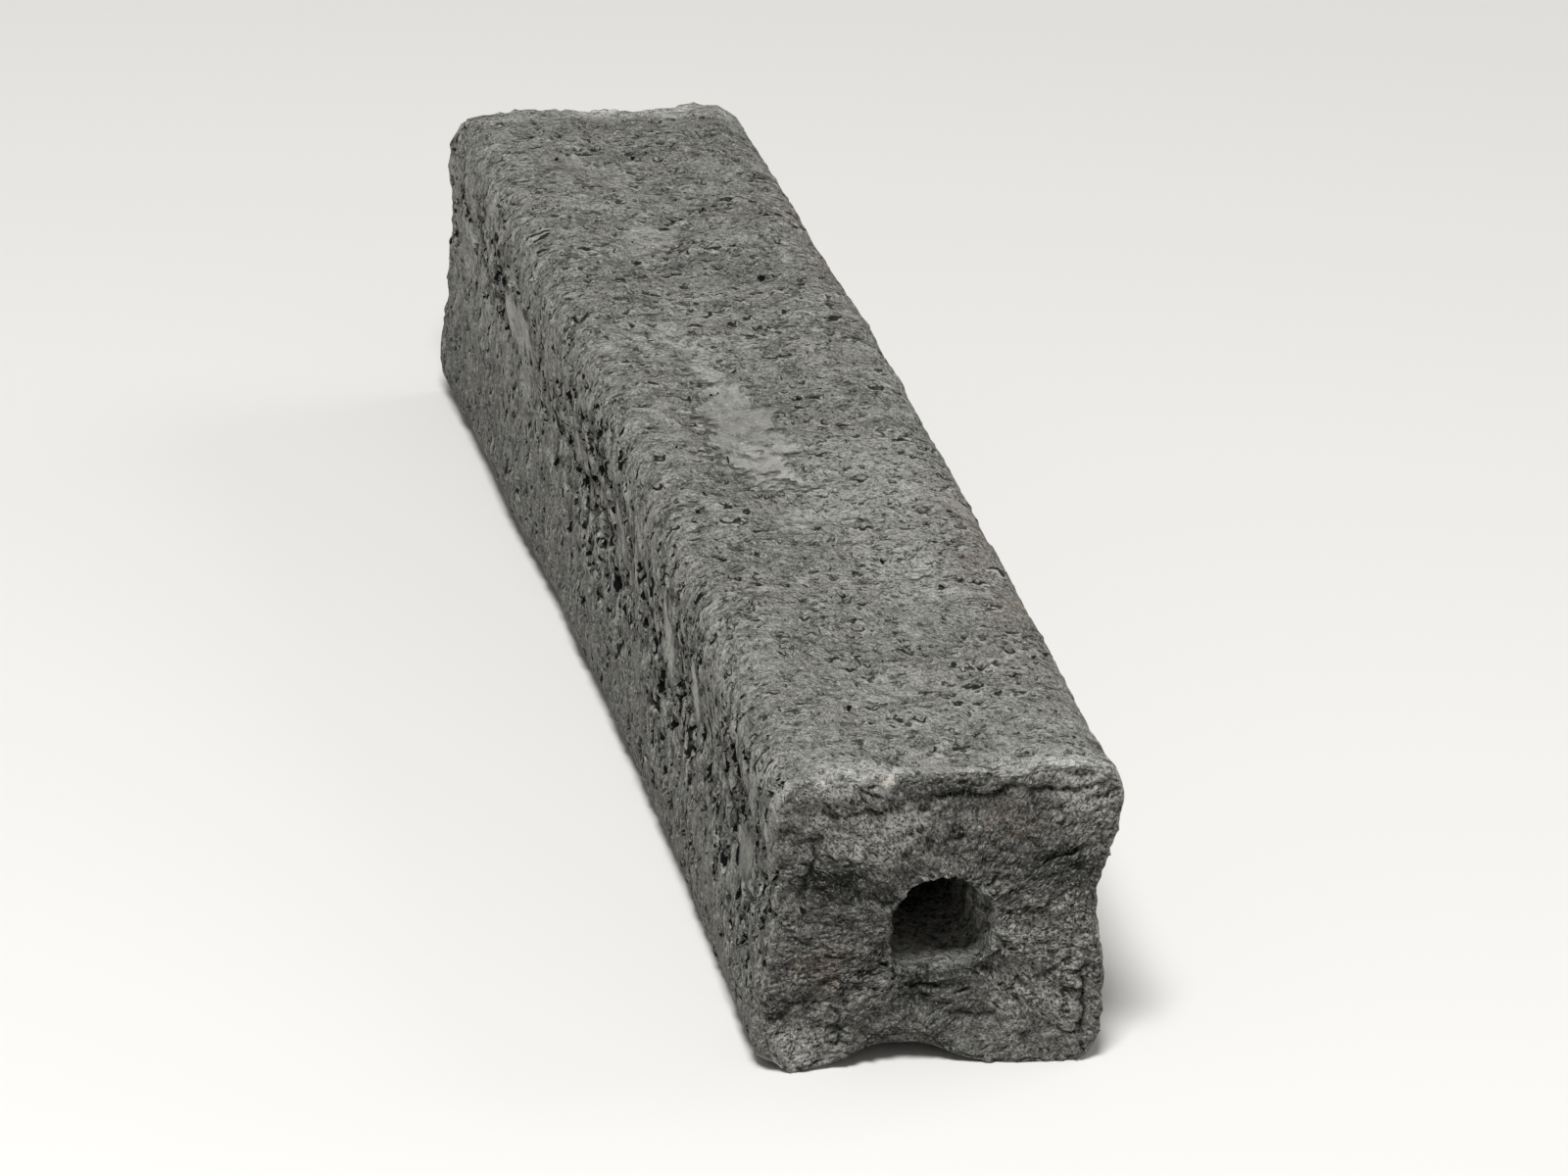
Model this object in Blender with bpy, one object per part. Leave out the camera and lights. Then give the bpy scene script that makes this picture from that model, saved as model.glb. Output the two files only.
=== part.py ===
"""Sawdust charcoal briquette: one pressed and charred bar with an air hole along its whole length.

Metres, +Z up. The bar lies along Y on its underside, and -Y is the end that is broken off clean
through the hole's mouth. The origin is the middle of the bounding box's base.
"""

import math

import bmesh
import bpy
from mathutils import Vector, noise

# Driving dimensions. The bar shrinks unevenly in the kiln, so its two ends differ in section.
LENGTH = 0.231
WIDTH_FRONT = 0.0450
WIDTH_BACK = 0.0435
HEIGHT_FRONT = 0.0413
HEIGHT_BACK = 0.0450
SECTION_POWER = 9.5  # superellipse power: corners of about 5.5 mm radius
BOW = 0.0016  # how far the middle of the bar curves towards +X
BORE_SIDE = 0.0122
BORE_ROOF_POWER = 2.0  # the hole is an arch: a round roof over a squarer floor
BORE_ROOF_RISE = 1.2  # the roof stands higher above the axis than the floor lies below it
BORE_FLOOR_POWER = 3.2
BORE_HEIGHT_SHARE = 0.45  # the hole's axis, as a share of the bar's height
BORE_SHIFT = 0.0008  # the press's mandrel sat a little to the +X side

# How the press and the kiln leave the four sides
SIDE_DRAW = 0.034  # the middle of each side is drawn in by this share of the half width
UNDERSIDE_DRAW = 0.012  # and less underneath, where the bar lay
SWELL = 0.00045  # slow swelling and waisting along the bar
DIMPLE = 0.00040  # hand-sized unevenness of the skin
GROOVE_DEPTH = 0.0009  # a shallow channel along the -X side
GROOVE_HEIGHT = 0.62  # the channel's line, as a share of the height
GROOVE_REACH = 0.0050
UNDERSIDE_PRESS = 0.0006  # how much of the underside is pressed flat by the bar's own weight

# How the two ends are broken
BROW_LENGTH = 0.0020  # the skin rolls over into the break along this much of the bar
BROW_INSET = 0.0011
LUMP_HEIGHT = 0.0024
LUMP_SIZE = 0.0105
RIM_CALM = 0.6  # lumps are smaller by this share at the rim
CRUMB_HEIGHT = 0.0010
CRUMB_SIZE = 0.0042
MOUTH_DISH = 0.0012  # the break dips towards the hole
SPLIT_DEPTH = 0.0030  # below the front mouth a strip has come away, down to the chipped lower rim
SPLIT_HALF_WIDTH = 0.0075
MOUTH_FLARE = 0.0005
MOUTH_LIP = 0.0008  # a low lip that stands round the roof of the front mouth
CHIP_FADE = 0.0065  # how far along the bar a chip in the rim reaches
# Chips in the rim: angle round the section from +X, half width in degrees, depth (below 0 where it bulges)
FRONT_CHIPS = (
    (-100.0, 16.0, 0.0068),
    (8.0, 16.0, 0.0020),
    (134.0, 13.0, 0.0014),
    (174.0, 14.0, 0.0006),
    (41.0, 13.0, -0.0012),
    (-137.0, 14.0, -0.0010),
)
BACK_CHIPS = ((62.0, 10.0, 0.0007), (128.0, 12.0, 0.0009), (-38.0, 15.0, 0.0018), (-120.0, 12.0, 0.0016))

# Mesh density
RING_POINTS = 48
CORNER_CROWDING = 0.45
SKIN_STEPS = 52
CAP_STEPS = 8
BORE_STEPS = 20
BROW_ANGLES = (30.0, 62.0, 90.0)

FRONT, BACK = -1, 1


def smooth_step(low, high, value):
    share = min(1.0, max(0.0, (value - low) / (high - low)))
    return share * share * (3.0 - 2.0 * share)


def ring_angles():
    """Angles round the section, crowded towards the four corners."""
    even = [2.0 * math.pi * i / RING_POINTS for i in range(RING_POINTS)]
    return [a + CORNER_CROWDING * math.sin(4.0 * a) / 4.0 for a in even]


def superellipse(angle, power):
    """Distance from the centre to a rounded square of half side 1."""
    return (abs(math.cos(angle)) ** power + abs(math.sin(angle)) ** power) ** (-1.0 / power)


def along(y, front_value, back_value):
    return front_value + (back_value - front_value) * (y / LENGTH + 0.5)


def height_at(y):
    return along(y, HEIGHT_FRONT, HEIGHT_BACK)


def centre_at(y):
    """The line that the bar's sections are centred on."""
    sideways = BOW * (1.0 - (2.0 * y / LENGTH) ** 2) + 0.0003 * noise.noise(Vector((y / 0.04, 3.1, 0.0)))
    return Vector((sideways, y, height_at(y) / 2.0))


def chip_depth(angle, y):
    """How far the rim is chipped away here: deep at the broken end, gone a little way in."""
    chips, from_end = (FRONT_CHIPS, y + LENGTH / 2.0) if y < 0.0 else (BACK_CHIPS, LENGTH / 2.0 - y)
    depth = 0.0
    for chip_angle, half_width, deepest in chips:
        away = (math.degrees(angle) - chip_angle + 180.0) % 360.0 - 180.0
        depth += deepest * math.exp(-((away / half_width) ** 2))
    return depth * math.exp(-max(0.0, from_end) / CHIP_FADE)


def skin_point(angle, y, inset=0.0):
    """A point of the bar's side at this angle round the section, sunk by inset."""
    half_width = along(y, WIDTH_FRONT, WIDTH_BACK) / 2.0
    half_height = height_at(y) / 2.0
    draw = UNDERSIDE_DRAW if math.sin(angle) < -math.sqrt(0.5) else SIDE_DRAW
    drawn_in = 1.0 - draw * math.cos(2.0 * angle) ** 2
    reach = superellipse(angle, SECTION_POWER) * drawn_in
    outward = Vector((math.cos(angle), 0.0, math.sin(angle)))
    flat = Vector((outward.x * half_width, 0.0, outward.z * half_height)) * reach
    place = Vector((flat.x, y, flat.z))
    swell = SWELL * noise.noise(Vector((1.7, place.y / 0.038, math.cos(angle) + 2.0)))
    dimple = DIMPLE * noise.noise(Vector((place.x / 0.011, place.y / 0.009, place.z / 0.011)))
    share_up = 0.5 + flat.z / (2.0 * half_height)
    from_groove = (share_up - GROOVE_HEIGHT) * 2.0 * half_height / GROOVE_REACH
    groove = GROOVE_DEPTH * math.exp(-from_groove**2) if outward.x < 0.0 else 0.0
    groove *= 0.65 + 0.35 * math.sin(y / 0.017)
    move = swell + dimple - groove - inset - chip_depth(angle, y)
    return centre_at(y) + flat + outward * move


def bore_point(angle, y):
    """A point of the hole's wall, which flares and roughens at both mouths."""
    from_end = LENGTH / 2.0 - abs(y)
    near_mouth = math.exp(-max(0.0, from_end) / 0.005)
    outward = Vector((math.cos(angle), 0.0, math.sin(angle)))
    rough = noise.noise(Vector((outward.x * 1.6 + 5.0, y / 0.011, outward.z * 1.6)))
    power = BORE_ROOF_POWER if outward.z > 0.0 else BORE_FLOOR_POWER
    reach = superellipse(angle, power) * BORE_SIDE / 2.0
    reach += MOUTH_FLARE * near_mouth * (0.5 + rough) + 0.00025 * rough
    axis = centre_at(y)
    axis.x += BORE_SHIFT
    axis.z = height_at(y) * BORE_HEIGHT_SHARE
    if outward.z > 0.0:
        outward.z *= BORE_ROOF_RISE
    return axis + outward * reach


def break_height(place, end, share):
    """How far the broken face stands out at this place. share is 0 at the hole and 1 at the rim."""
    spot = Vector((place.x, 7.0 * end, place.z))
    lump = noise.fractal(spot / LUMP_SIZE, 1.0, 2.0, 2)
    crumb = noise.noise(Vector((place.x, 3.0 * end, place.z)) / CRUMB_SIZE)
    relief = LUMP_HEIGHT * lump * (1.0 - RIM_CALM * share) + CRUMB_HEIGHT * crumb - MOUTH_DISH * (1.0 - share) ** 2
    if end == FRONT:
        below_hole = smooth_step(0.0, 0.007, BORE_HEIGHT_SHARE * HEIGHT_FRONT - place.z)
        relief -= SPLIT_DEPTH * below_hole * math.exp(-((place.x / SPLIT_HALF_WIDTH) ** 2))
        relief += MOUTH_LIP * (1.0 - below_hole) * math.exp(-(((share - 0.16) / 0.12) ** 2))
    return relief


def cap_rings(angles, end):
    """The broken end, from the last ring of the skin to the mouth of the hole."""
    rings = []
    y_face = end * LENGTH / 2.0
    for turn in BROW_ANGLES:
        lean = math.radians(turn)
        y_ring = y_face - end * BROW_LENGTH * (1.0 - math.sin(lean))
        inset = BROW_INSET * (1.0 - math.cos(lean))
        ring = [skin_point(a, y_ring, inset) for a in angles]
        for place in ring:
            place.y += end * break_height(place, end, 1.0) * (turn / BROW_ANGLES[-1]) ** 2
        rings.append(ring)
    for step in range(1, CAP_STEPS + 1):
        share = 1.0 - step / CAP_STEPS
        ring = []
        for a in angles:
            place = bore_point(a, y_face).lerp(skin_point(a, y_face, BROW_INSET), share)
            place.y = y_face + end * break_height(place, end, share)
            ring.append(place)
        rings.append(ring)
    return rings


def skin_rings(angles):
    """The four sides, from the front brow to the back brow."""
    reach = LENGTH / 2.0 - BROW_LENGTH
    stations = [reach * (2.0 * i / SKIN_STEPS - 1.0) for i in range(SKIN_STEPS + 1)]
    return [[skin_point(a, y) for a in angles] for y in stations]


def bore_rings(angles, back_mouth, front_mouth):
    """The wall of the hole between its two mouths, with short steps near each."""
    rings = []
    for i in range(1, BORE_STEPS):
        share = 0.5 - 0.5 * math.cos(math.pi * i / BORE_STEPS)
        ring = []
        for a, back, front in zip(angles, back_mouth, front_mouth):
            ring.append(bore_point(a, back.y + (front.y - back.y) * share))
        rings.append(ring)
    return rings


def press_underside(rings):
    """Lays what hangs lowest flat on z = 0, as the bar's own weight did while it was soft."""
    for ring in rings:
        for place in ring:
            place.z = max(0.0, place.z - UNDERSIDE_PRESS)


def centre_on_base(rings):
    """Puts the origin in the middle of the bounding box's base."""
    places = [place for ring in rings for place in ring]
    shift = Vector()
    for axis in (0, 1):
        values = [place[axis] for place in places]
        shift[axis] = -(min(values) + max(values)) / 2.0
    for place in places:
        place += shift


def closed_mesh(rings):
    """One skin through all the rings and back to the first, so that it closes on itself."""
    shape = bmesh.new()
    rows = [[shape.verts.new(place) for place in ring] for ring in rings]
    for row, next_row in zip(rows, rows[1:] + rows[:1]):
        for i in range(RING_POINTS):
            j = (i + 1) % RING_POINTS
            shape.faces.new((row[i], row[j], next_row[j], next_row[i]))
    bmesh.ops.recalc_face_normals(shape, faces=shape.faces)
    bmesh.ops.triangulate(shape, faces=shape.faces, quad_method="SHORT_EDGE")
    mesh = bpy.data.meshes.new("briquette")
    shape.to_mesh(mesh)
    shape.free()
    return mesh


def charcoal():
    """Matt dark grey charcoal with a slight ash bloom."""
    material = bpy.data.materials.new("charcoal")
    material.use_nodes = True
    shader = material.node_tree.nodes["Principled BSDF"]
    shader.inputs["Base Color"].default_value = (0.150, 0.146, 0.136, 1.0)
    shader.inputs["Roughness"].default_value = 0.78
    shader.inputs["Metallic"].default_value = 0.0
    return material


def build_briquette():
    angles = ring_angles()
    front = cap_rings(angles, FRONT)
    back = cap_rings(angles, BACK)
    bore = bore_rings(angles, back[-1], front[-1])
    rings = skin_rings(angles) + back + bore + front[::-1]
    press_underside(rings)
    centre_on_base(rings)
    mesh = closed_mesh(rings)
    mesh.materials.append(charcoal())
    mesh.shade_smooth()
    mesh.set_sharp_from_angle(angle=math.radians(50.0))
    briquette = bpy.data.objects.new("briquette", mesh)
    bpy.context.scene.collection.objects.link(briquette)
    return briquette


for leftover in list(bpy.data.objects):
    bpy.data.objects.remove(leftover)
build_briquette()
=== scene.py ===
"""Sawdust charcoal briquette: one charred bar with a hole along it, lying on a pale table."""

import math

import bmesh
import bpy
from mathutils import Matrix, Vector


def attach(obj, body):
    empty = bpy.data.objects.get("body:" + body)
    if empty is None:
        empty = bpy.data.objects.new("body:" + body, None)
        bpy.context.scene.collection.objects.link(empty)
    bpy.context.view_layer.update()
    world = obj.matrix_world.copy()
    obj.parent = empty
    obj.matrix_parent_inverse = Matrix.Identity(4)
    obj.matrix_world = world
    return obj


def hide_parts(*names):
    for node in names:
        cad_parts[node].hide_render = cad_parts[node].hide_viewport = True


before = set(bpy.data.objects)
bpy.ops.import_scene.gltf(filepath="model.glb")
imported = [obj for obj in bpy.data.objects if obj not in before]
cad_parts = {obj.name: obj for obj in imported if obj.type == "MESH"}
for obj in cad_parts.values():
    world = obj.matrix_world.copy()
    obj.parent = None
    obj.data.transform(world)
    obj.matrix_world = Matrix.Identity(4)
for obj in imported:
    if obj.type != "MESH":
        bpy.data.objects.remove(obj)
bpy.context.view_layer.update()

# The bar as it leaves the press. Damp sawdust is squeezed through a square die with rounded corners, round
# a thin mandrel that leaves the hole, and the endless bar breaks off in lengths of a hand and a half.
# It starts as a block, gets its rounded edges and its hole, and is then drawn onto the measured solid.
DIE_WIDTH, DIE_HEIGHT, BAR_LENGTH = 0.0440, 0.0432, 0.2325
DIE_CORNER, CORNER_FACETS = 0.0058, 8
MANDREL = 0.0124
HALF_LENGTH = BAR_LENGTH / 2.0
MID_HEIGHT = DIE_HEIGHT / 2.0
HOLE_SHIFT, HOLE_HEIGHT = 0.00085, 0.0182
FLAT_SIDE = 0.02  # an edge longer than this spans a flat side
HAIR = 0.0001


def pick(kind, wanted):
    """Selects only those edges or faces of the open mesh that are wanted."""
    bpy.ops.mesh.select_mode(type=kind)
    bpy.ops.mesh.select_all(action="DESELECT")
    shape = bmesh.from_edit_mesh(bpy.context.edit_object.data)
    for element in shape.edges if kind == "EDGE" else shape.faces:
        if wanted(element):
            element.select_set(True)
    bmesh.update_edit_mesh(bpy.context.edit_object.data)


def runs_along(edge):
    """True where an edge follows the bar's length."""
    step = edge.verts[1].co - edge.verts[0].co
    return abs(step.y) > 0.9 * step.length


def at_end(element, side=0):
    """True where all of an edge or face lies in an end plane; side picks the front (-1) or back (1)."""
    ends = [v.co.y for v in element.verts]
    on_back = all(y > HALF_LENGTH - HAIR for y in ends)
    on_front = all(y < HAIR - HALF_LENGTH for y in ends)
    return (on_back and side >= 0) or (on_front and side <= 0)


def from_axis(vertex):
    """Distance of a vertex from the hole's axis, measured square."""
    return max(abs(vertex.co.x - HOLE_SHIFT), abs(vertex.co.z - HOLE_HEIGHT))


bpy.ops.object.select_all(action="DESELECT")
bpy.ops.mesh.primitive_cube_add(size=1.0, location=(0.0, 0.0, 0.0))
bar = bpy.context.object
bar.name = "charcoal_bar"
bpy.ops.object.mode_set(mode="EDIT")
bpy.ops.mesh.select_all(action="SELECT")
bpy.ops.transform.resize(value=(DIE_WIDTH, BAR_LENGTH, DIE_HEIGHT))
bpy.ops.transform.translate(value=(0.0, 0.0, MID_HEIGHT))
pick("EDGE", runs_along)
bpy.ops.mesh.bevel(offset=DIE_CORNER, segments=CORNER_FACETS, affect="EDGES")
pick("FACE", at_end)
bpy.ops.mesh.delete(type="ONLY_FACE")

# Strips across the flat sides: more where they show, fewer underneath
CUTS_IN_VIEW, CUTS_UNDERNEATH = 43, 11
pick("EDGE", lambda e: at_end(e) and e.calc_length() > FLAT_SIDE and e.verts[0].co.z > HAIR)
bpy.ops.mesh.subdivide(number_cuts=CUTS_IN_VIEW)
pick("EDGE", lambda e: at_end(e) and e.calc_length() > FLAT_SIDE)
bpy.ops.mesh.subdivide(number_cuts=CUTS_UNDERNEATH)

# The two broken faces, drawn in from the rims to the hole, and the hole between them
HOLE_ROUNDNESS, HOLE_STRETCHES = 0.85, 8
pick("EDGE", lambda e: at_end(e) and e.is_boundary)
bpy.ops.mesh.extrude_edges_move()
shrink = MANDREL / DIE_WIDTH
bpy.ops.transform.resize(value=(shrink, 1.0, shrink), center_override=(0.0, 0.0, MID_HEIGHT))
bpy.ops.transform.translate(value=(HOLE_SHIFT, 0.0, HOLE_HEIGHT - MID_HEIGHT))
for side in (-1, 1):
    pick("EDGE", lambda e: at_end(e, side) and e.is_boundary)
    bpy.ops.transform.tosphere(value=HOLE_ROUNDNESS)
pick("EDGE", lambda e: at_end(e) and e.is_boundary)
bpy.ops.mesh.bridge_edge_loops(number_cuts=HOLE_STRETCHES - 1)
NEAR_MOUTH = HALF_LENGTH - BAR_LENGTH / HOLE_STRETCHES - 0.003


def in_hole(edge, side):
    """True for the stretch of the hole's wall next to the front (-1) or back (1) mouth."""
    ys = [side * v.co.y for v in edge.verts]
    return runs_along(edge) and max(map(from_axis, edge.verts)) < MANDREL and min(ys) > NEAR_MOUTH


for side, cuts in ((-1, 27), (1, 9)):
    pick("EDGE", lambda e: in_hole(e, side))
    bpy.ops.mesh.subdivide(number_cuts=cuts)

# Rings between the rim and the hole of each break
RIM_TO_HOLE = 0.006  # an edge that nears the axis by more than this runs from rim to hole
pick("EDGE", lambda e: at_end(e) and abs(from_axis(e.verts[0]) - from_axis(e.verts[1])) > RIM_TO_HOLE)
bpy.ops.mesh.subdivide(number_cuts=11)

# Stations along the skin, in two passes, because one pass stops at 100 cuts
for cuts in (26, 9):
    pick("EDGE", lambda e: runs_along(e) and from_axis(e.verts[0]) > MANDREL)
    bpy.ops.mesh.subdivide(number_cuts=cuts)

# A finer mesh on both breaks, and finest on the front one
for wanted in (at_end, lambda f: at_end(f, -1)):
    pick("FACE", wanted)
    bpy.ops.mesh.subdivide(number_cuts=1)
bpy.ops.mesh.select_all(action="SELECT")
bpy.ops.mesh.normals_make_consistent(inside=False)
bpy.ops.object.mode_set(mode="OBJECT")

draw = bar.modifiers.new("drawn onto the solid", "SHRINKWRAP")
draw.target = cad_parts["briquette"]
draw.wrap_method = "NEAREST_SURFACEPOINT"
ease = bar.modifiers.new("facets eased", "SMOOTH")
ease.factor = 0.5
ease.iterations = 5
for change in (draw, ease):
    bpy.ops.object.modifier_apply(modifier=change.name)

# The charred skin. Baking shrinks the pressed sawdust unevenly, so the four sides wrinkle across the bar, part into
# thin overlapping scales, and open in slits and pits, which are deepest in a band along the left side. The break at
# each end is crumbly, and the wall of the hole is lumpy behind its mouth.
MM = 0.001
ELSEWHERE = (0.031, 0.017, 0.053)  # far enough off for an unlike pattern
WIDE_LIP, SMALL_LIP, PIT = (2.9, 4.2, 2.9), (1.7, 3.1, 1.7), (1.8, 2.5, 2.9)  # cells in millimetres


class Bench:
    """Lays out the nodes of one tree, so that a pattern reads as a few lines of arithmetic."""

    def __init__(self, tree):
        self.tree = tree

    def add(self, kind, inputs, **settings):
        node = self.tree.nodes.new(kind)
        for name, value in settings.items():
            setattr(node, name, value)
        for key, value in inputs.items():
            if isinstance(value, bpy.types.NodeSocket):
                self.tree.links.new(value, node.inputs[key])
            else:
                node.inputs[key].default_value = value
        return node

    def maths(self, operation, *terms):
        return self.add("ShaderNodeMath", dict(enumerate(terms)), operation=operation).outputs[0]

    def vector(self, operation, *terms):
        return self.add("ShaderNodeVectorMath", dict(enumerate(terms)), operation=operation).outputs[0]

    def gather(self, operation, terms):
        result = terms[0]
        for term in terms[1:]:
            result = self.maths(operation, result, term)
        return result

    def product(self, *terms):
        return self.gather("MULTIPLY", terms)

    def total(self, *terms):
        return self.gather("ADD", terms)

    def strongest(self, *terms):
        return self.gather("MAXIMUM", terms)

    def rest_of(self, share):
        return self.maths("SUBTRACT", 1.0, share)

    def step(self, value, low, high):
        """0 at low and 1 at high, with an eased slope between them. low may be above high."""
        inputs = {"Value": value, "From Min": low, "From Max": high}
        return self.add("ShaderNodeMapRange", inputs, interpolation_type="SMOOTHSTEP").outputs[0]

    def cloud(self, place, cell, octaves=2.0, roughness=0.5, output=0):
        """Smooth noise round 0.5, with cells of this size in millimetres along X, Y and Z."""
        cells = self.vector("DIVIDE", place, tuple(MM * c for c in cell))
        inputs = {"Vector": cells, "Scale": 1.0, "Detail": octaves, "Roughness": roughness}
        return self.add("ShaderNodeTexNoise", inputs).outputs[output]

    def swing(self, value, reach):
        """Turns noise round 0.5 into one round 0 that swings by about this reach."""
        return self.maths("MULTIPLY", self.maths("SUBTRACT", value, 0.5), 4.0 * reach)

    def line(self, value, width):
        """1 along the lines where noise crosses its middle, and 0 past this width."""
        return self.step(self.maths("ABSOLUTE", self.maths("SUBTRACT", value, 0.5)), width, width * 0.25)

    def warped(self, place, cell, reach):
        """The place pushed about by slow noise, so that a pattern on it wanders."""
        wander = self.vector("SUBTRACT", self.cloud(place, (cell,) * 3, 1.0, output=1), (0.5,) * 3)
        push = self.vector("MULTIPLY", wander, tuple(4.0 * MM * r for r in reach))
        return self.vector("ADD", place, push)

    def spots(self, place, spots):
        """1 inside soft patches, each given by its middle and its reach in millimetres."""
        parts = []
        for middle, reach in spots:
            away = self.vector("SUBTRACT", place, tuple(MM * c for c in middle))
            away = self.vector("DIVIDE", away, tuple(MM * c for c in reach))
            length = self.add("ShaderNodeVectorMath", {0: away}, operation="LENGTH").outputs["Value"]
            parts.append(self.step(length, 1.0, 0.35))
        return self.strongest(*parts)


def lips(bench, place, crowd, cell, gate):
    """Thin curled lips of skin, one to a cell, with their free edge towards the front: lip, slit and rim beyond."""
    cells = bench.vector("DIVIDE", place, tuple(MM * c for c in cell))
    nearest = bench.add("ShaderNodeTexVoronoi", {"Vector": cells, "Scale": 1.0})
    chance = bench.add("ShaderNodeSeparateXYZ", {0: nearest.outputs["Color"]}).outputs
    away = bench.vector("SUBTRACT", cells, nearest.outputs["Position"])
    along = bench.add("ShaderNodeSeparateXYZ", {0: away}).outputs[1]
    lean = bench.maths("DIVIDE", along, nearest.outputs["Distance"])
    forward = bench.step(lean, -0.30, -0.62)
    reach = bench.total(0.24, bench.product(chance[1], 0.24))
    past = bench.maths("SUBTRACT", nearest.outputs["Distance"], reach)
    kept = bench.product(bench.step(bench.total(chance[0], bench.swing(crowd, 0.40)), gate, gate + 0.20), forward)
    slit = bench.product(bench.step(bench.maths("ABSOLUTE", past), 0.105, 0.035), kept)
    lip = bench.product(bench.step(past, 0.03, -0.16), kept)
    rim = bench.product(bench.step(past, 0.10, 0.18), bench.step(past, 0.32, 0.22), kept)
    return lip, slit, rim


def skin_marks(bench, place, lively, pitted):
    """The marks that baking left in the skin, each from 0 to 1, and how near a pit is."""
    wandering = bench.warped(place, 7.0, (0.9, 0.8, 0.9))
    stirred = bench.warped(wandering, 1.7, (0.62, 0.75, 0.62))
    crowd = bench.cloud(place, (9.0, 12.0, 9.0), 2.0)
    broad = bench.cloud(wandering, (2.3, 3.2, 2.3), 3.0, 0.55)
    wrinkles = bench.cloud(wandering, (0.95, 1.15, 0.95), 3.0, 0.70)
    wide_lips, wide_slits, wide_rims = lips(bench, stirred, crowd, WIDE_LIP, gate=0.40)
    shifted = bench.vector("ADD", stirred, ELSEWHERE)
    small_lips, small_slits, small_rims = lips(bench, shifted, crowd, SMALL_LIP, gate=0.24)
    tears = bench.product(bench.line(bench.cloud(stirred, (4.5, 7.0, 4.5), 2.0), 0.013),
                          bench.step(bench.cloud(shifted, (4.0, 6.0, 4.0), 1.0), 0.57, 0.64))
    slits = bench.product(bench.strongest(wide_slits, tears, bench.product(small_slits, 0.85)), lively)
    raised = bench.product(bench.strongest(wide_lips, bench.product(small_lips, 0.6)), lively)
    rims = bench.product(bench.strongest(wide_rims, bench.product(small_rims, 0.75)), lively)
    hollow = bench.cloud(shifted, PIT, 1.0)
    gap = bench.maths("SUBTRACT", hollow, bench.total(0.250, bench.product(pitted, 0.255)))
    return broad, wrinkles, raised, slits, rims, gap


relief = bpy.data.node_groups.new("charring", "GeometryNodeTree")
for way in ("INPUT", "OUTPUT"):
    relief.interface.new_socket(name="Geometry", in_out=way, socket_type="NodeSocketGeometry")
bench = Bench(relief)
pressed = bench.add("NodeGroupInput", {}).outputs[0]
place = bench.add("GeometryNodeInputPosition", {}).outputs[0]
facing = bench.add("GeometryNodeInputNormal", {}).outputs[0]
x, y, z = bench.add("ShaderNodeSeparateXYZ", {0: place}).outputs
facing_x, facing_y = bench.add("ShaderNodeSeparateXYZ", {0: facing}).outputs[:2]
wandering = bench.warped(place, 8.0, (1.0, 1.0, 1.0))

# How far each mark stands out from the pressed surface or sinks into it, in millimetres
LUMPS, CREASES, WRINKLES = 0.15, 0.24, 0.09
LIP_HEIGHT, RIM_HEIGHT, SLIT_DEPTH, PIT_DEPTH = 0.22, 0.05, 0.20, 1.25
CRUMBS, CRACK_DEPTH, BREAK_DEPTH = 1.20, 0.8, 0.35
HOLE_LUMPS = 1.05

# Where is skin, where is the break, and where is the hole
from_hole = bench.maths("SQRT", bench.total(
    bench.maths("POWER", bench.maths("SUBTRACT", x, HOLE_SHIFT), 2.0),
    bench.maths("POWER", bench.maths("SUBTRACT", z, HOLE_HEIGHT), 2.0)))
inside = bench.step(from_hole, 0.0105, 0.0090)
ragged = bench.swing(bench.cloud(place, (1.5, 1.5, 1.5), 2.0), 0.22)
broken = bench.step(bench.total(bench.maths("ABSOLUTE", facing_y), ragged), 0.50, 0.68)
hole = bench.maths("MULTIPLY", inside, bench.rest_of(broken))
skin = bench.product(bench.rest_of(inside), bench.rest_of(broken))

# Smooth patches of the skin, and how thickly each part of the left and the right side is pitted
SMOOTH_PATCHES = (
    ((-3.5, -8.0, 43.0), (8.5, 26.0, 9.0)),
    ((-22.0, -42.0, 27.0), (6.0, 5.5, 9.0)),
    ((-22.0, -60.0, 28.0), (6.0, 4.5, 7.5)),
    ((-22.0, -98.0, 22.0), (6.0, 9.0, 4.5)),
    ((-22.0, 62.0, 30.0), (6.0, 14.0, 6.0)),
)
PITTED_BANDS = (
    ((-24.0, 8.0, 27.0), (11.0, 62.0, 19.0)),
    ((-24.0, -42.0, 25.0), (11.0, 46.0, 20.0)),
    ((-24.0, -92.0, 24.0), (11.0, 42.0, 19.0)),
    ((-24.0, 78.0, 31.0), (10.0, 52.0, 9.5)),
    ((28.0, 45.0, 25.0), (11.0, 95.0, 22.0)),
    ((28.0, -55.0, 22.0), (11.0, 80.0, 20.0)),
)
frayed = bench.swing(bench.cloud(place, (4.0, 3.0, 4.0), 4.0, 0.7), 0.85)
smooth = bench.strongest(
    bench.step(bench.total(bench.spots(wandering, SMOOTH_PATCHES), frayed), 0.30, 0.60),
    bench.product(bench.step(bench.cloud(place, (10.0, 14.0, 10.0), 2.0), 0.60, 0.68), 0.6))
lively = bench.rest_of(bench.maths("MULTIPLY", smooth, 0.9))
left_side = bench.step(facing_x, -0.35, -0.80)
pitted = bench.maths("MAXIMUM", 0.0, bench.total(
    bench.product(bench.spots(wandering, PITTED_BANDS), 0.80), bench.product(left_side, 0.20),
    bench.product(smooth, -1.0)))
broad, wrinkles, raised, slits, rims, pit_gap = skin_marks(bench, place, lively, pitted)
pits = bench.step(pit_gap, 0.01, -0.06)
lumps = bench.swing(bench.cloud(wandering, (11.0, 16.0, 11.0), 2.0), LUMPS)
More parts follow.
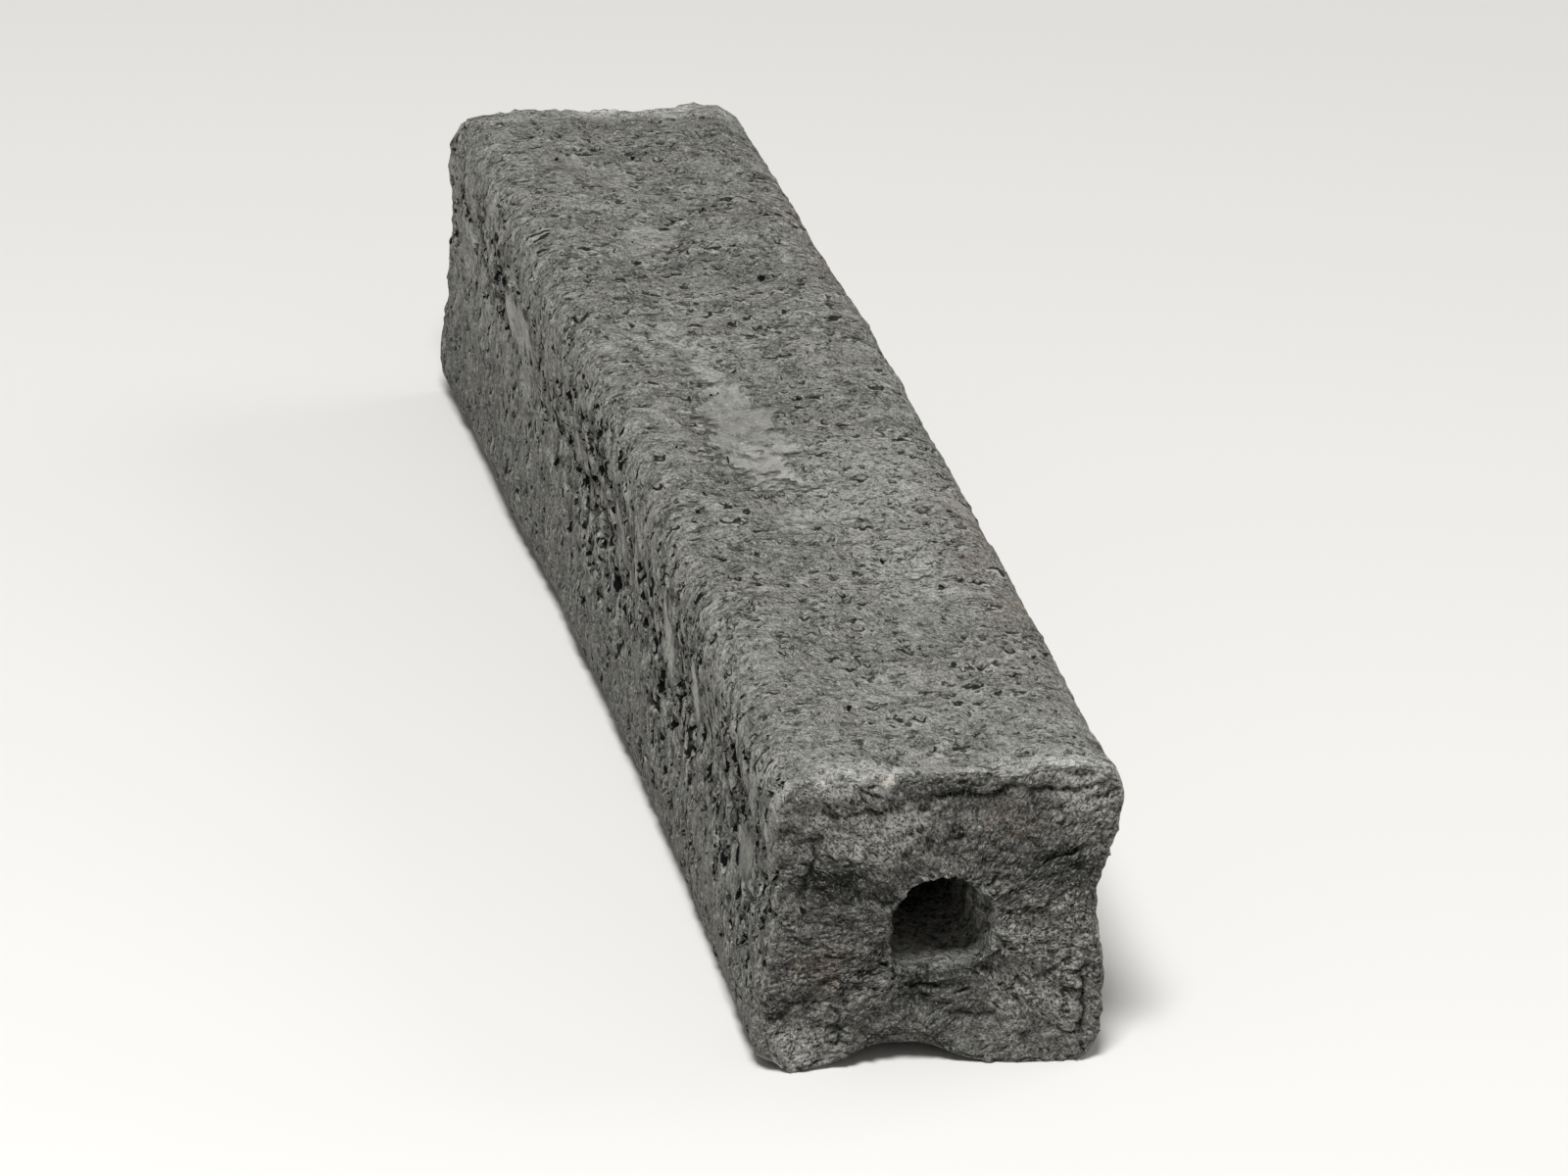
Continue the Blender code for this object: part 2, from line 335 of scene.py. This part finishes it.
skin_height = bench.product(skin, bench.total(
    lumps, bench.product(bench.swing(broad, CREASES), lively), bench.product(bench.swing(wrinkles, WRINKLES), lively),
    bench.product(raised, LIP_HEIGHT), bench.product(rims, RIM_HEIGHT), bench.product(slits, -SLIT_DEPTH),
    bench.product(pits, -PIT_DEPTH)))

# The break: crumbs, granules and cracks, a little below the skin's ragged lip. Each long crack is given by the way it
# runs, where it starts and ends, the level it lies at, and its slope.
SEAMS = (
    ("x", -17.0, -7.5, 35.6, 0.05),  # under the top rim
    ("x", -3.5, 20.5, 37.0, 0.02),
    ("z", 20.0, 33.0, -18.6, 0.05),  # inside the left and the right edge
    ("z", 3.5, 14.0, 18.4, 0.05),
    ("x", -4.0, 6.5, 9.6, -0.22),  # below the hole
    ("x", -1.5, 9.0, 7.0, -0.25),
)
SEAM_REACH, SEAM_FLOOR = 0.55 * MM, 0.10 * MM
crumbs = bench.swing(bench.cloud(place, (3.4, 3.4, 2.6), 6.0, 0.78), CRUMBS)
cracks = bench.product(bench.line(bench.cloud(wandering, (5.5, 5.5, 3.0), 3.0), 0.026),
                       bench.step(bench.cloud(place, (5.0, 5.0, 5.0), 1.0), 0.50, 0.60))
astray = bench.warped(place, 3.0, (0.9, 0.0, 0.9))
stray_x, _, stray_z = bench.add("ShaderNodeSeparateXYZ", {0: astray}).outputs
for way, start, end, level, slope in SEAMS:
    run, off = (stray_x, stray_z) if way == "x" else (stray_z, stray_x)
    off = bench.maths("SUBTRACT", off, bench.total(MM * level, bench.product(run, slope)))
    seam = bench.step(bench.maths("ABSOLUTE", off), SEAM_REACH, SEAM_FLOOR)
    span = bench.product(bench.step(run, MM * start, MM * (start + 2.0)),
                         bench.step(run, MM * end, MM * (end - 2.0)))
    cracks = bench.strongest(cracks, bench.product(seam, span))
break_height = bench.product(bench.total(crumbs, bench.maths("MULTIPLY", cracks, -CRACK_DEPTH), -BREAK_DEPTH), broken)
near_rim = bench.step(bench.maths("ABSOLUTE", y), HALF_LENGTH - 6.0 * MM, HALF_LENGTH - 0.5 * MM)
rim_height = bench.product(crumbs, skin, near_rim, 0.55)

# The hole's wall: lumps that fade out 50 mm behind the front mouth
at_front = bench.step(y, 50.0 * MM - HALF_LENGTH, -HALF_LENGTH)
hole_height = bench.product(bench.swing(bench.cloud(place, (3.4, 4.0, 3.4), 4.0, 0.6), HOLE_LUMPS), hole, at_front)

height = bench.total(skin_height, break_height, rim_height, hole_height)
reach = bench.maths("MULTIPLY", height, MM)
push = bench.add("ShaderNodeVectorMath", {0: facing, "Scale": reach}, operation="SCALE").outputs[0]
moved = bench.vector("ADD", place, push)
new_x, new_y, new_z = bench.add("ShaderNodeSeparateXYZ", {0: moved}).outputs
seated = bench.add("ShaderNodeCombineXYZ", {0: new_x, 1: new_y, 2: bench.maths("MAXIMUM", new_z, 0.0)}).outputs[0]

# Tones that go with places: pale and dark parts of the breaks and the skin, brown tinges, painted highlights on the
# rims and lips, two bright flakes and smooth pale streaks. Each soft patch is given by its middle and its reach in
# millimetres.
PALE_PARTS = (
    ((-11.0, -115.0, 32.5), (12.0, 9.0, 6.5)),
    ((13.5, -115.0, 15.0), (10.0, 9.0, 13.0)),
    ((-17.0, -115.0, 4.0), (5.0, 9.0, 3.0)),
    ((18.0, -115.0, 36.0), (7.0, 9.0, 6.0)),
    ((12.0, 115.0, 33.0), (8.0, 9.0, 6.0)),
    ((-12.0, 115.0, 9.0), (8.0, 9.0, 6.0)),
)
DARK_PARTS = (
    ((2.5, -115.0, 38.0), (8.0, 9.0, 2.2)),
    ((-14.5, -115.0, 25.0), (6.5, 9.0, 5.0)),
    ((14.0, -115.0, 27.5), (8.0, 9.0, 3.5)),
    ((0.5, -115.0, 10.8), (11.0, 9.0, 5.5)),
    ((-10.0, 115.0, 30.0), (8.0, 9.0, 6.0)),
    ((10.0, 115.0, 12.0), (8.0, 9.0, 5.0)),
    ((-1.0, 44.0, 43.0), (16.0, 26.0, 9.0)),
    ((2.0, 100.0, 43.0), (18.0, 22.0, 9.0)),
)
BROWN_PARTS = (
    ((-13.5, -115.0, 14.0), (6.5, 9.0, 5.0)),
    ((8.5, -115.0, 33.0), (6.0, 9.0, 3.5)),
    ((16.0, -115.0, 20.0), (6.0, 9.0, 5.0)),
    ((20.0, -55.0, 42.0), (9.0, 45.0, 9.0)),
    ((20.0, 60.0, 42.0), (6.0, 40.0, 9.0)),
    ((22.0, -20.0, 20.0), (9.0, 50.0, 12.0)),
    ((-8.0, 115.0, 22.0), (8.0, 9.0, 7.0)),
    ((-22.0, -70.0, 6.0), (7.0, 45.0, 7.0)),
)
# Painted highlights on the ragged lip where the skin meets each break, mostly along the top rims
LIT_LIPS = (
    ((13.0, -117.0, 42.5), (19.0, 10.0, 7.0)),
    ((-13.0, -117.0, 41.5), (12.0, 8.0, 5.0)),
    ((-17.0, -117.0, 0.5), (10.0, 6.0, 4.0)),
    ((6.0, 117.0, 43.5), (20.0, 9.0, 6.0)),
    ((21.0, 117.0, 20.0), (6.0, 7.0, 18.0)),
)
FLAKES = (
    ((-8.4, -117.0, 39.4), (2.1, 8.0, 0.65)),
    ((-16.4, -117.0, 39.2), (0.6, 8.0, 0.6)),
)
STREAKS = (
    ((-22.0, -42.0, 27.0), (6.0, 6.0, 10.0)),
    ((-22.0, -60.0, 28.0), (6.0, 5.0, 9.0)),
    ((-22.0, 15.0, 24.0), (6.0, 8.0, 5.0)),
    ((-22.0, 85.0, 28.0), (8.0, 42.0, 17.0)),
    ((-3.5, 30.0, 43.0), (5.0, 24.0, 9.0)),
    ((9.0, -38.0, 43.0), (16.0, 46.0, 9.0)),
    ((22.0, -30.0, 26.0), (6.0, 8.0, 10.0)),
)
pale = bench.strongest(bench.spots(astray, PALE_PARTS), bench.spots(wandering, STREAKS))
# Painted highlight on the lips round the breaks
lip = bench.spots(astray, LIT_LIPS)
flake = bench.spots(bench.warped(place, 1.5, (0.3, 0.0, 0.3)), FLAKES)
dark = bench.spots(astray, DARK_PARTS)
brown = bench.spots(wandering, BROWN_PARTS)
# Painted highlight: a paler band along the top rim near each end
near_end = bench.step(bench.maths("ABSOLUTE", y), HALF_LENGTH - 9.0 * MM, HALF_LENGTH - 1.0 * MM)
rim_highlight = bench.product(near_end, bench.step(bench.cloud(place, (5.0, 5.0, 5.0), 3.0), 0.40, 0.58),
                     bench.step(z, 0.030, 0.040))
# Painted highlight: the break round the upper half of the hole's mouth is painted paler
mouth = bench.product(bench.step(from_hole, 0.0100, 0.0072), bench.step(z, 0.0140, 0.0185))
depth = bench.step(bench.maths("ABSOLUTE", y), HALF_LENGTH - 1.0 * MM, HALF_LENGTH - 34.0 * MM)

charred = bench.add("GeometryNodeSetPosition", {"Geometry": pressed, "Position": seated}).outputs[0]
notes = {"pressed": place, "broken": broken, "hole": hole, "smooth": smooth, "pitted": pitted, "cracks": cracks,
         "pale": pale, "dark": dark, "brown": brown, "rim_highlight": rim_highlight, "mouth": mouth, "depth": depth, "lip": lip,
         "flake": flake}
for name, value in notes.items():
    sort = "FLOAT_VECTOR" if name == "pressed" else "FLOAT"
    charred = bench.add("GeometryNodeStoreNamedAttribute", {"Geometry": charred, "Name": name, "Value": value},
                        data_type=sort, domain="POINT").outputs[0]
bench.add("NodeGroupOutput", {0: charred})

charring = bar.modifiers.new("charring", "NODES")
charring.node_group = relief
bpy.ops.object.modifier_apply(modifier=charring.name)
bpy.ops.object.shade_smooth()

# Charcoal: matt warm grey skin, paler where it is smooth, with painted highlights on its rims and lips and painted
# shade, near black, in its slits, creases and pits, and darker towards the bottom as painted shade; the break is
# darker and granular, with brown tinges, painted shade in its cracks and gaps, and a few bright ash specks.
SKIN_TONE = (0.382, 0.382, 0.351, 1.0)
SKIN_DARK = (0.100, 0.100, 0.092, 1.0)
SKIN_PALE = (0.500, 0.500, 0.461, 1.0)
SKIN_BROWN = (0.262, 0.238, 0.206, 1.0)
BREAK_TONE = (0.235, 0.232, 0.212, 1.0)
BREAK_DARK = (0.045, 0.045, 0.040, 1.0)
BREAK_PALE = (0.570, 0.564, 0.520, 1.0)
BREAK_BROWN = (0.215, 0.180, 0.150, 1.0)
HIGHLIGHT_PALE = (0.700, 0.697, 0.660, 1.0)
# PAINTED_SHADE is near black, painted as shade into the skin's slits, creases and pits and into the break's cracks and
# gaps
PAINTED_SHADE = (0.003, 0.003, 0.003, 1.0)
ASH = (0.600, 0.585, 0.550, 1.0)
FLAKE = (0.740, 0.690, 0.620, 1.0)

charcoal = bpy.data.materials.new("charcoal")
charcoal.use_nodes = True
shader = charcoal.node_tree.nodes["Principled BSDF"]
bench = Bench(charcoal.node_tree)


def blend(first, second, share):
    """The first colour, with this share of the second over it."""
    return bench.add("ShaderNodeMix", {0: share, 6: first, 7: second}, data_type="RGBA").outputs[2]


place = bench.add("ShaderNodeAttribute", {}, attribute_name="pressed").outputs["Vector"]
marks = {}
for name in notes:
    if name != "pressed":
        marks[name] = bench.add("ShaderNodeAttribute", {}, attribute_name=name).outputs["Fac"]
lively = bench.rest_of(bench.maths("MULTIPLY", marks["smooth"], 0.9))
broad, wrinkles, raised, slits, rims, pit_gap = skin_marks(bench, place, lively, marks["pitted"])
pits = bench.step(pit_gap, 0.008, -0.025)

# Tones of the skin
mottle = bench.cloud(place, (6.0, 4.0, 6.0), 4.0, 0.6)
bands = bench.cloud(place, (30.0, 9.0, 30.0), 2.0)
fine_grain = bench.cloud(place, (0.36, 0.60, 0.36), 2.0, 0.6)
fine_grain_share = bench.rest_of(bench.product(marks["smooth"], 0.65))
# Painted shade: the skin is darker in the hollows of its broad creases and wrinkles, and mottled at random
tone = bench.product(bench.total(
    bench.step(broad, 0.40, 0.58), bench.step(wrinkles, 0.36, 0.58), bench.step(mottle, 0.38, 0.60)), 0.40)
skin_colour = blend(SKIN_DARK, SKIN_TONE, tone)
skin_colour = blend(skin_colour, SKIN_DARK, bench.product(bench.step(bands, 0.52, 0.40), 0.30))
skin_colour = blend(skin_colour, SKIN_DARK, bench.product(marks["smooth"], 0.14))
skin_colour = blend(skin_colour, SKIN_PALE, bench.strongest(
    bench.product(marks["rim_highlight"], 0.75), bench.product(marks["pale"], bench.step(wrinkles, 0.40, 0.54), 0.60)))
skin_colour = blend(skin_colour, SKIN_DARK, bench.product(marks["dark"], bench.step(mottle, 0.62, 0.42), 0.30))
tint = bench.step(bench.cloud(place, (7.0, 9.0, 7.0), 2.0), 0.52, 0.64)
skin_colour = blend(skin_colour, SKIN_BROWN, bench.strongest(
    bench.product(marks["brown"], bench.step(mottle, 0.36, 0.54), 0.85), bench.product(tint, 0.28)))
# Painted shade: the skin is darker towards the bottom, below 30 mm
painted_low_shade = bench.step(bench.add("ShaderNodeSeparateXYZ", {0: place}).outputs[2], 0.030, 0.012)
skin_colour = blend(skin_colour, SKIN_DARK, bench.product(painted_low_shade, 0.52))
# The fine grain: painted shade in its hollows and painted highlights on its tops, less where the skin is smooth
skin_colour = blend(skin_colour, SKIN_DARK, bench.product(bench.step(fine_grain, 0.47, 0.38), fine_grain_share, 0.42))
skin_colour = blend(skin_colour, SKIN_PALE, bench.product(bench.step(fine_grain, 0.53, 0.62), fine_grain_share, 0.55))
# Painted highlight: a pale line on the rim beyond each slit, where the wrinkles stand up
skin_colour = blend(skin_colour, SKIN_PALE, bench.product(rims, bench.step(wrinkles, 0.36, 0.52), 0.9))
strokes = bench.cloud(place, (1.2, 1.7, 4.2), 2.0, 0.6)
skin_colour = blend(skin_colour, SKIN_DARK, bench.product(bench.step(strokes, 0.48, 0.38), marks["pitted"], 0.8))
skin_colour = blend(skin_colour, SKIN_PALE, bench.product(bench.step(strokes, 0.53, 0.63), marks["pitted"], 0.85))
# Painted shade: the slits, the creases between the wrinkles and the pits are painted near black
slit_shade = bench.strongest(
    bench.product(slits, bench.total(0.92, bench.product(marks["pitted"], 0.5))),
    bench.product(bench.step(wrinkles, 0.42, 0.34), lively, 0.70))
skin_colour = blend(skin_colour, PAINTED_SHADE, bench.maths("MINIMUM", bench.strongest(slit_shade, pits), 1.0))

# Tones of the break: pale and dark grains on broader pale and dark parts, with painted shade in thin gaps round the
# granules
clods = bench.cloud(place, (5.0, 5.0, 4.0), 3.0, 0.6)
crumb = bench.cloud(place, (1.6, 1.6, 1.3), 5.0, 0.72)
grit = bench.cloud(place, (0.44, 0.44, 0.40), 2.0, 0.7)
granules = bench.warped(place, 1.4, (0.35, 0.35, 0.35))
granules = bench.vector("DIVIDE", granules, (1.7 * MM, 1.7 * MM, 1.5 * MM))
gaps = bench.add("ShaderNodeTexVoronoi", {"Vector": granules, "Scale": 1.0}, feature="DISTANCE_TO_EDGE").outputs[0]
gaps = bench.product(bench.step(gaps, 0.085, 0.02), bench.step(clods, 0.56, 0.44))
# Painted highlight and shade: paler on the crests of the crumbs and darker in their hollows, and paler round the upper
# mouth
lightness = bench.total(
    0.39, bench.product(marks["pale"], 0.55), bench.product(marks["mouth"], 0.35),
    bench.product(marks["dark"], -0.46), bench.swing(clods, 0.22), bench.swing(crumb, 0.18))
break_colour = blend(BREAK_DARK, BREAK_TONE, bench.step(lightness, -0.25, 0.45))
break_colour = blend(break_colour, BREAK_BROWN, bench.product(marks["brown"], bench.step(clods, 0.36, 0.54), 0.95))
break_colour = blend(break_colour, BREAK_PALE, bench.product(
    bench.step(lightness, 0.30, 0.95), bench.step(grit, 0.36, 0.60)))
break_colour = blend(break_colour, BREAK_PALE, bench.product(bench.step(grit, 0.55, 0.64), 0.62))
break_colour = blend(break_colour, BREAK_DARK, bench.product(bench.step(grit, 0.47, 0.38), 0.75))
# Painted shade: near black in the cracks and in the gaps round the granules, more so round the upper mouth of the hole
break_colour = blend(break_colour, PAINTED_SHADE, bench.strongest(
    bench.product(marks["cracks"], 0.85), bench.product(gaps, bench.total(0.45, bench.product(marks["mouth"], 0.3)))))

colour = blend(skin_colour, break_colour, marks["broken"])
# Painted highlight: the lips round the breaks are paler where the crumbs stand up
colour = blend(colour, HIGHLIGHT_PALE, bench.product(
    marks["lip"], bench.step(bench.total(crumb, bench.swing(grit, 0.12)), 0.38, 0.58), 0.85))
colour = blend(colour, FLAKE, marks["flake"])
# Painted light: pale crumbs on the hole's wall past its first few millimetres, where the lamps reach little
colour = blend(colour, BREAK_PALE, bench.product(
    marks["hole"], bench.step(crumb, 0.38, 0.56), bench.step(marks["depth"], 0.03, 0.12), 0.80))
# Painted shade: the hole's wall is darker just inside the mouth and deep inside
painted_hole_shade = bench.strongest(
    bench.product(bench.step(marks["depth"], 0.08, 0.02), 0.30),
    bench.product(bench.step(marks["depth"], 0.6, 1.0), 0.45))
colour = blend(colour, BREAK_DARK, bench.product(marks["hole"], painted_hole_shade))
specks = bench.add("ShaderNodeTexVoronoi", {"Vector": place, "Scale": 420.0}).outputs[0]
colour = blend(colour, ASH, bench.product(bench.step(specks, 0.095, 0.055), 0.75))
charcoal.node_tree.links.new(colour, shader.inputs["Base Color"])

rough = bench.add("ShaderNodeMapRange", {"Value": wrinkles, "To Min": 0.95, "To Max": 0.72}).outputs[0]
charcoal.node_tree.links.new(rough, shader.inputs["Roughness"])
shader.inputs["Specular IOR Level"].default_value = 0.15
skin_grain = bench.total(
    bench.product(broad, lively, 1.5), bench.product(wrinkles, lively, 2.4), bench.product(raised, 0.45),
    bench.product(slits, -0.45), bench.product(pits, -0.35), bench.product(fine_grain, 0.24),
    bench.product(strokes, marks["pitted"], 0.9))
break_grain = bench.total(
    bench.product(crumb, 2.8), bench.product(grit, 0.60), bench.product(marks["cracks"], -0.3),
    bench.product(gaps, -0.25))
grain = bench.total(bench.product(skin_grain, bench.rest_of(marks["broken"])),
                    bench.product(break_grain, marks["broken"]))
bump = bench.add("ShaderNodeBump", {"Strength": 1.0, "Distance": MM, "Height": grain}).outputs[0]
charcoal.node_tree.links.new(bump, shader.inputs["Normal"])
bar.data.materials.clear()
bar.data.materials.append(charcoal)
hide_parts("briquette")
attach(bar, "root")

# The tabletop: a plain level board, painted pale and matt, so that the dark bar reads clearly against it. It is wide
# enough to fill the view from every side.
BOARD_WIDTH = 12.0
BOARD_PAINT = (0.78, 0.77, 0.75, 1.0)
bpy.ops.object.select_all(action="DESELECT")
bpy.ops.mesh.primitive_plane_add(size=BOARD_WIDTH, location=(0.0, 0.0, 0.0))
board = bpy.context.object
board.name = "pale_board"
paint = bpy.data.materials.new("pale board paint")
paint.use_nodes = True
paint.node_tree.nodes["Principled BSDF"].inputs["Base Color"].default_value = BOARD_PAINT
paint.node_tree.nodes["Principled BSDF"].inputs["Roughness"].default_value = 0.9
board.data.materials.append(paint)

# Soft studio light: a softbox high on the front left that rakes the broken face, a weak wide one on the right that
# fills the shade, and a faint warm light from all round.
AIM = Vector((0.0, 0.0, 0.02))
AIR_COLOUR, AIR_STRENGTH = (1.0, 0.99, 0.97, 1.0), 0.24
for name, stand, power, size in (
    ("high softbox", (-0.30, -0.66, 1.28), 22.0, 0.40),
    ("right fill", (1.30, 0.30, 0.90), 4.0, 0.9),
):
    bpy.ops.object.light_add(type="AREA", location=stand)
    lamp = bpy.context.object
    lamp.name = name
    lamp.data.energy = power
    lamp.data.size = size
    lamp.rotation_mode = "QUATERNION"
    lamp.rotation_quaternion = (AIM - Vector(stand)).to_track_quat("-Z", "Y")
world = bpy.data.worlds.new("studio air")
bpy.context.scene.world = world
world.use_nodes = True
world.node_tree.nodes["Background"].inputs["Color"].default_value = AIR_COLOUR
world.node_tree.nodes["Background"].inputs["Strength"].default_value = AIR_STRENGTH
bpy.context.scene.view_settings.view_transform = "Standard"

# The camera stands where the photograph was taken from, on the front left and above the bar, tipped a little to one
# side, and looks through a long lens. The lens and its film are in millimetres.
STAND = (-0.2711, -1.1605, 0.5138)
AZIMUTH, ELEVATION, ROLL = -13.36, 22.64, 3.52
LENS, FILM = 219.4, 36.0
eye = bpy.data.cameras.new("studio camera")
eye.lens = LENS
eye.sensor_width = FILM
camera = bpy.data.objects.new("studio camera", eye)
bpy.context.scene.collection.objects.link(camera)
camera.matrix_world = (
    Matrix.Translation(STAND)
    @ Matrix.Rotation(math.radians(AZIMUTH), 4, "Z")
    @ Matrix.Rotation(math.radians(90.0 - ELEVATION), 4, "X")
    @ Matrix.Rotation(math.radians(ROLL), 4, "Z")
)
bpy.context.scene.camera = camera
